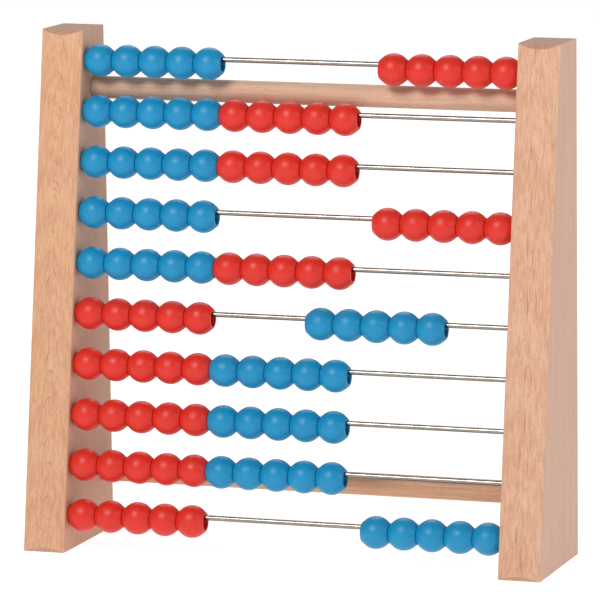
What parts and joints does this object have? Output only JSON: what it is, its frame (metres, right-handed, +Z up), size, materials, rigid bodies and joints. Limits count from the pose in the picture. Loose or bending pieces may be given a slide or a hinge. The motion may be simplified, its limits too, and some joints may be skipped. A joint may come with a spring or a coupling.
{
  "type": "abacus",
  "caption": "Free-standing bead frame for counting: tapered wooden uprights, round wooden rails behind, and steel rods carrying wooden beads in two colours.",
  "frame": {"origin": "middle of the bounding box at the level of the feet", "axes": "+X to the right along the rods, +Y to the rear, +Z up; the low front edge faces -Y"},
  "size_m": [0.237, 0.0706, 0.23],
  "materials": {
    "beech": "clear satin lacquer over beech",
    "steel_rod": "plain drawn steel wire, satin",
    "blue_lacquer": "satin blue lacquer on turned beech",
    "red_lacquer": "satin red lacquer on turned beech"
  },
  "bodies": {
    "frame": {"left_upright": "beech", "right_upright": "beech", "top_rail": "beech", "bottom_rail": "beech", "rod_01": "steel_rod", "rod_02": "steel_rod", "rod_03": "steel_rod", "rod_04": "steel_rod", "rod_05": "steel_rod", "rod_06": "steel_rod", "rod_07": "steel_rod", "rod_08": "steel_rod", "rod_09": "steel_rod", "rod_10": "steel_rod"},
    "row_01_blue": {"row_01_blue_beads": "blue_lacquer"},
    "row_01_red": {"row_01_red_beads": "red_lacquer"},
    "row_02_blue": {"row_02_blue_beads": "blue_lacquer"},
    "row_02_red": {"row_02_red_beads": "red_lacquer"},
    "row_03_blue": {"row_03_blue_beads": "blue_lacquer"},
    "row_03_red": {"row_03_red_beads": "red_lacquer"},
    "row_04_blue": {"row_04_blue_beads": "blue_lacquer"},
    "row_04_red": {"row_04_red_beads": "red_lacquer"},
    "row_05_blue": {"row_05_blue_beads": "blue_lacquer"},
    "row_05_red": {"row_05_red_beads": "red_lacquer"},
    "row_06_red": {"row_06_red_beads": "red_lacquer"},
    "row_06_blue": {"row_06_blue_beads": "blue_lacquer"},
    "row_07_red": {"row_07_red_beads": "red_lacquer"},
    "row_07_blue": {"row_07_blue_beads": "blue_lacquer"},
    "row_08_red": {"row_08_red_beads": "red_lacquer"},
    "row_08_blue": {"row_08_blue_beads": "blue_lacquer"},
    "row_09_red": {"row_09_red_beads": "red_lacquer"},
    "row_09_blue": {"row_09_blue_beads": "blue_lacquer"},
    "row_10_red": {"row_10_red_beads": "red_lacquer"},
    "row_10_blue": {"row_10_blue_beads": "blue_lacquer"}
  },
  "joints": [
    {"name": "row_01_blue_slide", "type": "slide", "parent": "frame", "child": "row_01_blue", "axis": [1, 0, 0], "range_m": [0, 0.0718]},
    {"name": "row_01_red_slide", "type": "slide", "parent": "frame", "child": "row_01_red", "axis": [1, 0, 0], "range_m": [-0.0718, 0]},
    {"name": "row_02_blue_slide", "type": "slide", "parent": "frame", "child": "row_02_blue", "axis": [1, 0, 0], "range_m": [0, 0.0718]},
    {"name": "row_02_red_slide", "type": "slide", "parent": "row_02_blue", "child": "row_02_red", "axis": [-1, 0, 0], "range_m": [-0.0718, 0]},
    {"name": "row_03_blue_slide", "type": "slide", "parent": "frame", "child": "row_03_blue", "axis": [1, 0, 0], "range_m": [0, 0.0718]},
    {"name": "row_03_red_slide", "type": "slide", "parent": "row_03_blue", "child": "row_03_red", "axis": [-1, 0, 0], "range_m": [-0.0718, 0]},
    {"name": "row_04_blue_slide", "type": "slide", "parent": "frame", "child": "row_04_blue", "axis": [1, 0, 0], "range_m": [0, 0.0718]},
    {"name": "row_04_red_slide", "type": "slide", "parent": "frame", "child": "row_04_red", "axis": [1, 0, 0], "range_m": [-0.0718, 0]},
    {"name": "row_05_blue_slide", "type": "slide", "parent": "frame", "child": "row_05_blue", "axis": [1, 0, 0], "range_m": [0, 0.0718]},
    {"name": "row_05_red_slide", "type": "slide", "parent": "row_05_blue", "child": "row_05_red", "axis": [-1, 0, 0], "range_m": [-0.0718, 0]},
    {"name": "row_06_red_slide", "type": "slide", "parent": "frame", "child": "row_06_red", "axis": [1, 0, 0], "range_m": [0, 0.043]},
    {"name": "row_06_blue_slide", "type": "slide", "parent": "frame", "child": "row_06_blue", "axis": [1, 0, 0], "range_m": [-0.043, 0.0286]},
    {"name": "row_07_red_slide", "type": "slide", "parent": "frame", "child": "row_07_red", "axis": [1, 0, 0], "range_m": [0, 0.0718]},
    {"name": "row_07_blue_slide", "type": "slide", "parent": "row_07_red", "child": "row_07_blue", "axis": [-1, 0, 0], "range_m": [-0.0718, 0]},
    {"name": "row_08_red_slide", "type": "slide", "parent": "frame", "child": "row_08_red", "axis": [1, 0, 0], "range_m": [0, 0.0718]},
    {"name": "row_08_blue_slide", "type": "slide", "parent": "row_08_red", "child": "row_08_blue", "axis": [-1, 0, 0], "range_m": [-0.0718, 0]},
    {"name": "row_09_red_slide", "type": "slide", "parent": "frame", "child": "row_09_red", "axis": [1, 0, 0], "range_m": [0, 0.0718]},
    {"name": "row_09_blue_slide", "type": "slide", "parent": "row_09_red", "child": "row_09_blue", "axis": [-1, 0, 0], "range_m": [-0.0718, 0]},
    {"name": "row_10_red_slide", "type": "slide", "parent": "frame", "child": "row_10_red", "axis": [1, 0, 0], "range_m": [0, 0.0718]},
    {"name": "row_10_blue_slide", "type": "slide", "parent": "frame", "child": "row_10_blue", "axis": [1, 0, 0], "range_m": [-0.0718, 0]}
  ]
}
